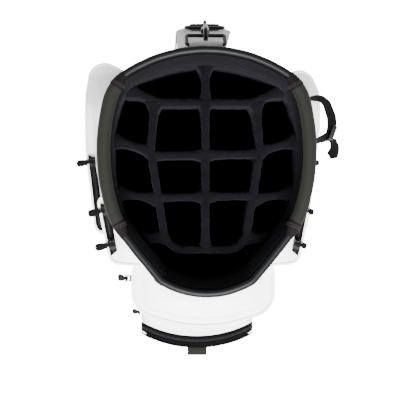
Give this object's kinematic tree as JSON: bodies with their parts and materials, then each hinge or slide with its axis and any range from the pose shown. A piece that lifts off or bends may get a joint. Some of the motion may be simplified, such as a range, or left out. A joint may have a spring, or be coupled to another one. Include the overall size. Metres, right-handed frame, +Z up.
{
  "type": "golf bag",
  "caption": "Staff-style golf cart bag with a divided top, moulded collar with two lift handles, zipped pockets, a drop-front ball pocket and a padded shoulder strap.",
  "frame": {"origin": "centre of the flat underside of the base, where the bag stands on the floor", "axes": "+Z up along the bag to the club openings, -Y to the front with the ball pocket, +Y to the spine with the shoulder strap, +X to the right seen from above with the spine at the top"},
  "size_m": [0.3316, 0.4481, 0.9014],
  "materials": {
    "white_leather": "satin",
    "black_plastic": "satin",
    "tray_plastic": "matte",
    "steel": "satin",
    "stay_alloy": "satin",
    "liner_fabric": "matte",
    "collar_black": "satin",
    "lining_plastic": "matte",
    "plush": "matte",
    "grey_core": "matte",
    "olive_rubber": "matte",
    "cuff_fabric": "matte",
    "olive_web": "matte",
    "grey_web": "matte",
    "grey_fabric": "matte",
    "black_web": "matte",
    "zip_tape": "matte",
    "black_metal": "satin",
    "black_rubber": "matte"
  },
  "bodies": {
    "bag": {"back_divider": "plush", "ball_pocket": "white_leather", "ball_pocket_zip": "zip_tape", "base_boot": "black_plastic", "base_screws": "steel", "base_sole": "black_plastic", "base_tray": "tray_plastic", "body_liner": "liner_fabric", "body_skin": "white_leather", "centre_crossbars": "plush", "centre_divider": "plush", "collar_lining": "lining_plastic", "divider_ring": "plush", "divider_sheets": "liner_fabric", "front_pocket": "white_leather", "front_pocket_zip": "zip_tape", "handle_bars": "grey_core", "handle_cuffs": "cuff_fabric", "handle_sleeves": "olive_rubber", "hood_snaps": "black_metal", "left_apparel_pocket": "white_leather", "left_side_pocket": "white_leather", "outer_crossbars": "plush", "right_apparel_pocket": "white_leather", "right_side_pocket": "white_leather", "shield_divider": "plush", "shoulder_pad": "grey_fabric", "side_zip_tapes": "zip_tape", "stay_rods": "stay_alloy", "strap_loops": "black_metal", "strap_tabs": "grey_web", "strap_webbing": "black_web", "swivel_eyes": "black_metal", "top_collar": "collar_black", "umbrella_buckle": "black_plastic", "umbrella_strap": "black_web"},
    "right_apparel_slider": {"right_apparel_slider": "black_metal"},
    "right_apparel_pull": {"right_apparel_pull": "black_rubber"},
    "right_side_rear_slider": {"right_side_rear_slider": "black_metal"},
    "right_side_rear_pull": {"right_side_rear_pull": "black_rubber"},
    "right_side_front_slider": {"right_side_front_slider": "black_metal"},
    "right_side_front_pull": {"right_side_front_pull": "black_rubber"},
    "left_apparel_slider": {"left_apparel_slider": "black_metal"},
    "left_apparel_pull": {"left_apparel_pull": "black_rubber"},
    "left_side_rear_slider": {"left_side_rear_slider": "black_metal"},
    "left_side_rear_pull": {"left_side_rear_pull": "black_rubber"},
    "left_side_front_slider": {"left_side_front_slider": "black_metal"},
    "left_side_front_pull": {"left_side_front_pull": "black_rubber"},
    "front_pocket_slider": {"front_pocket_slider": "black_metal"},
    "front_pocket_pull": {"front_pocket_pull": "black_rubber"},
    "ball_pocket_slider": {"ball_pocket_slider": "black_metal"},
    "ball_pocket_pull": {"ball_pocket_pull": "black_rubber"},
    "ball_door": {"ball_pocket_door": "white_leather", "ball_door_tab": "olive_web"},
    "upper_ring": {"upper_d_ring": "black_metal"},
    "upper_hook": {"upper_snap_hook": "black_metal"},
    "upper_gate": {"upper_hook_gate": "black_metal"},
    "lower_ring": {"lower_d_ring": "black_metal"},
    "lower_hook": {"lower_snap_hook": "black_metal"},
    "lower_gate": {"lower_hook_gate": "black_metal"}
  },
  "joints": [
    {"name": "right_apparel_slide", "type": "slide", "parent": "bag", "child": "right_apparel_slider", "axis": [-0.1174, -0.9931, 0], "range_m": [0, 0.072]},
    {"name": "right_apparel_swing", "type": "hinge", "parent": "right_apparel_slider", "child": "right_apparel_pull", "pos_m": [0.14387, 0.01877, 0.6498], "axis": [-0.1174, -0.9931, 0], "range_deg": [0, 100]},
    {"name": "right_side_rear_slide", "type": "slide", "parent": "bag", "child": "right_side_rear_slider", "axis": [-0.206, -0.9785, 0], "range_m": [0, 0.013]},
    {"name": "right_side_rear_swing", "type": "hinge", "parent": "right_side_rear_slider", "child": "right_side_rear_pull", "pos_m": [0.12025, -0.04446, 0.8098], "axis": [-0.206, -0.9785, 0], "range_deg": [0, 100]},
    {"name": "right_side_front_slide", "type": "slide", "parent": "bag", "child": "right_side_front_slider", "axis": [-0.206, -0.9785, 0], "range_m": [-0.014, 0.006]},
    {"name": "right_side_front_swing", "type": "hinge", "parent": "right_side_front_slider", "child": "right_side_front_pull", "pos_m": [0.11159, -0.08556, 0.8098], "axis": [-0.206, -0.9785, 0], "range_deg": [0, 100]},
    {"name": "left_apparel_slide", "type": "slide", "parent": "bag", "child": "left_apparel_slider", "axis": [0.1174, -0.9931, 0], "range_m": [0, 0.072]},
    {"name": "left_apparel_swing", "type": "hinge", "parent": "left_apparel_slider", "child": "left_apparel_pull", "pos_m": [-0.14387, 0.01877, 0.6498], "axis": [-0.1174, 0.9931, 0], "range_deg": [0, 100]},
    {"name": "left_side_rear_slide", "type": "slide", "parent": "bag", "child": "left_side_rear_slider", "axis": [0.206, -0.9785, 0], "range_m": [0, 0.013]},
    {"name": "left_side_rear_swing", "type": "hinge", "parent": "left_side_rear_slider", "child": "left_side_rear_pull", "pos_m": [-0.12025, -0.04446, 0.8098], "axis": [-0.206, 0.9785, 0], "range_deg": [0, 100]},
    {"name": "left_side_front_slide", "type": "slide", "parent": "bag", "child": "left_side_front_slider", "axis": [0.206, -0.9785, 0], "range_m": [-0.014, 0.006]},
    {"name": "left_side_front_swing", "type": "hinge", "parent": "left_side_front_slider", "child": "left_side_front_pull", "pos_m": [-0.11159, -0.08556, 0.8098], "axis": [-0.206, 0.9785, 0], "range_deg": [0, 100]},
    {"name": "front_pocket_slide", "type": "slide", "parent": "bag", "child": "front_pocket_slider", "axis": [0, 0, 1], "range_m": [-0.225, 0]},
    {"name": "front_pocket_swing", "type": "hinge", "parent": "front_pocket_slider", "child": "front_pocket_pull", "pos_m": [-0.0978, -0.132, 0.702], "axis": [0, 1, 0], "range_deg": [0, 120]},
    {"name": "ball_pocket_slide", "type": "slide", "parent": "bag", "child": "ball_pocket_slider", "axis": [0, 0, 1], "range_m": [0, 0.25]},
    {"name": "ball_pocket_swing", "type": "hinge", "parent": "ball_pocket_slider", "child": "ball_pocket_pull", "pos_m": [-0.0918, -0.21965, 0.134], "axis": [0, 1, 0], "range_deg": [0, 120]},
    {"name": "ball_door_fold", "type": "hinge", "parent": "bag", "child": "ball_door", "pos_m": [0, -0.236, 0.11], "axis": [1, 0, 0], "range_deg": [0, 75]},
    {"name": "upper_ring_swing", "type": "hinge", "parent": "bag", "child": "upper_ring", "pos_m": [0, 0.1506, 0.852], "axis": [1, 0, 0], "range_deg": [0, 5]},
    {"name": "upper_hook_swivel", "type": "hinge", "parent": "bag", "child": "upper_hook", "pos_m": [0, 0.16269, 0.83948], "axis": [0, 0.3539, -0.9353], "range_deg": [-12, 12]},
    {"name": "upper_gate_open", "type": "hinge", "parent": "upper_hook", "child": "upper_gate", "pos_m": [0, 0.16016, 0.82356], "axis": [-1, 0, 0], "range_deg": [0, 25], "stiffness_Nm_per_rad": 0.02, "springref_deg": -17.19},
    {"name": "lower_ring_swing", "type": "hinge", "parent": "bag", "child": "lower_ring", "pos_m": [0, 0.1506, 0.222], "axis": [1, 0, 0], "range_deg": [0, 5]},
    {"name": "lower_hook_swivel", "type": "hinge", "parent": "bag", "child": "lower_hook", "pos_m": [0, 0.16269, 0.23452], "axis": [0, 0.2609, 0.9654], "range_deg": [-12, 12]},
    {"name": "lower_gate_open", "type": "hinge", "parent": "lower_hook", "child": "lower_gate", "pos_m": [0, 0.17406, 0.24594], "axis": [-1, 0, 0], "range_deg": [0, 25], "stiffness_Nm_per_rad": 0.02, "springref_deg": -17.19}
  ]
}
